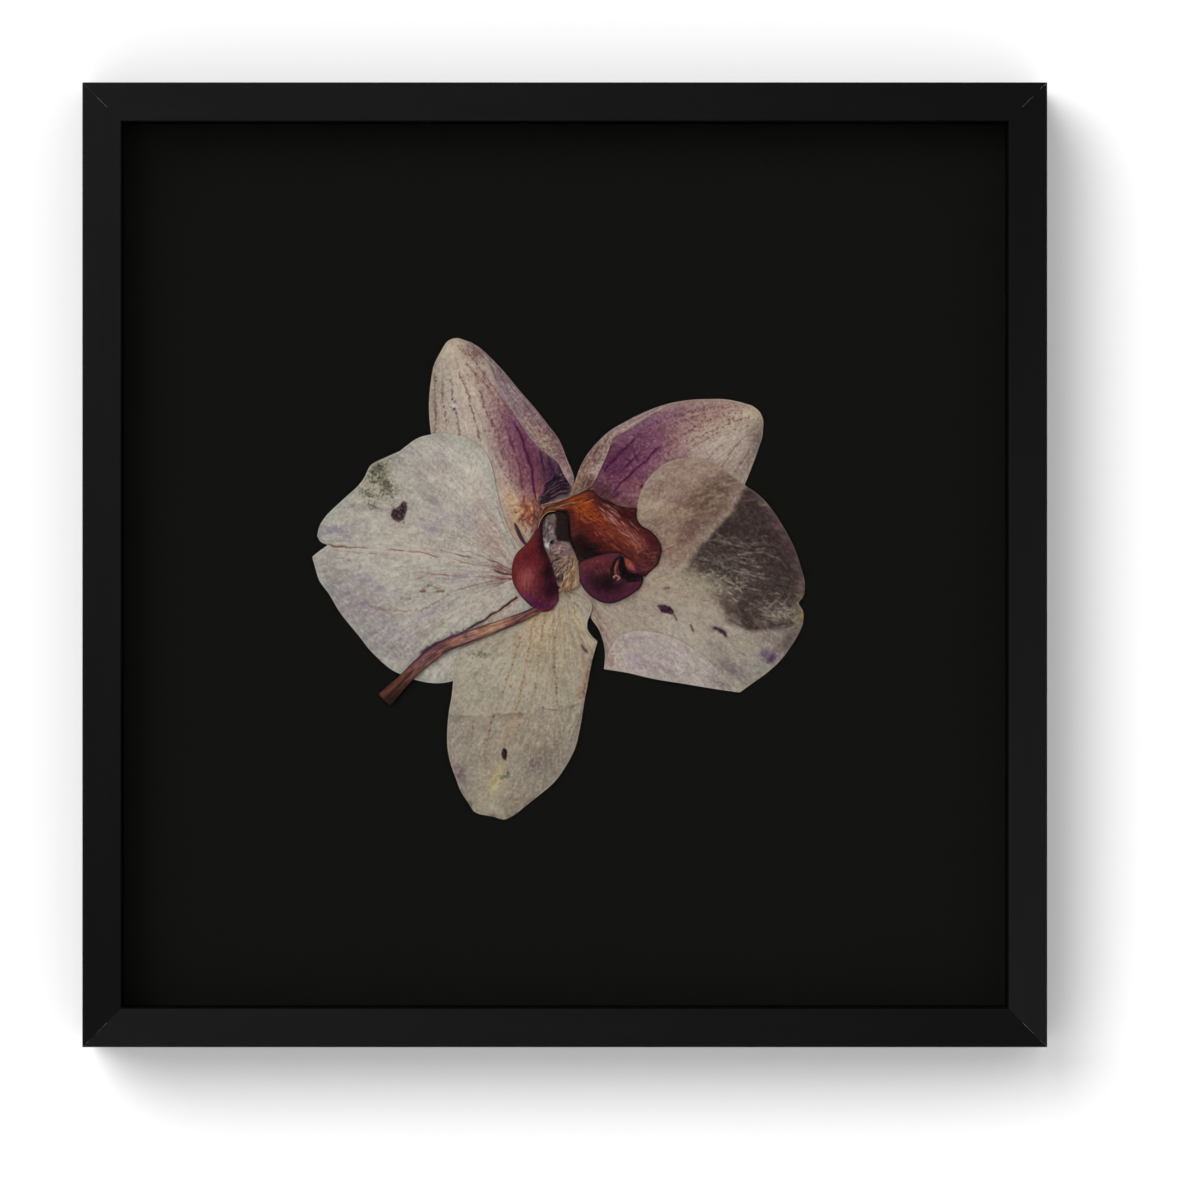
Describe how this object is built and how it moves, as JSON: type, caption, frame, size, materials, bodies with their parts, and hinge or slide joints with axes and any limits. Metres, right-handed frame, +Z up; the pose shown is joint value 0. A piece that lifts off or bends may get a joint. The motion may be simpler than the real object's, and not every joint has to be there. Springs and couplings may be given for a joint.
{
  "type": "pressed flower frame",
  "caption": "Slim black square box frame with mitred rails and a clear pane over a pressed orchid flower on a black board.",
  "frame": {"origin": "middle of the top rail's back face, where it lies on the wall", "axes": "+X to the right and +Z up as the picture hangs, +Y into the wall, so the front faces -Y"},
  "size_m": [0.21, 0.022, 0.2099],
  "materials": {
    "black_wood": "black stained, satin, faint grain",
    "clear_pane": "clear, anti-reflection",
    "black_board": "matt black paper-faced board",
    "backing_fibreboard": "plain brown fibreboard",
    "zinc_steel": "dull zinc-plated steel",
    "brassed_steel": "brass-plated steel",
    "sepal_tissue": "dry papery tissue, purple and cream",
    "petal_tissue": "dry papery tissue, pale, finely veined",
    "lip_tissue": "dry glossy tissue, orange-brown to purple",
    "column_tissue": "dry silvery tissue with dark streaks",
    "stalk_tissue": "dry brown stalk with purple edge"
  },
  "bodies": {
    "root": {"rail_top": "black_wood", "rail_left": "black_wood", "rail_bottom": "black_wood", "rail_right": "black_wood", "glass": "clear_pane", "mount_board": "black_board", "spacer_top": "black_board", "spacer_bottom": "black_board", "spacer_left": "black_board", "spacer_right": "black_board", "backing_board": "backing_fibreboard", "retaining_tab_1": "zinc_steel", "retaining_tab_2": "zinc_steel", "retaining_tab_3": "zinc_steel", "retaining_tab_4": "zinc_steel", "retaining_tab_5": "zinc_steel", "retaining_tab_6": "zinc_steel", "retaining_tab_7": "zinc_steel", "retaining_tab_8": "zinc_steel", "hanger": "brassed_steel", "hanger_screw_left": "brassed_steel", "hanger_screw_right": "brassed_steel", "sepal_upper_left": "sepal_tissue", "sepal_upper_right": "sepal_tissue", "sepal_lower": "petal_tissue", "petal_left": "petal_tissue", "petal_right": "petal_tissue", "lip": "lip_tissue", "column": "column_tissue", "pedicel": "stalk_tissue"}
  },
  "joints": []
}
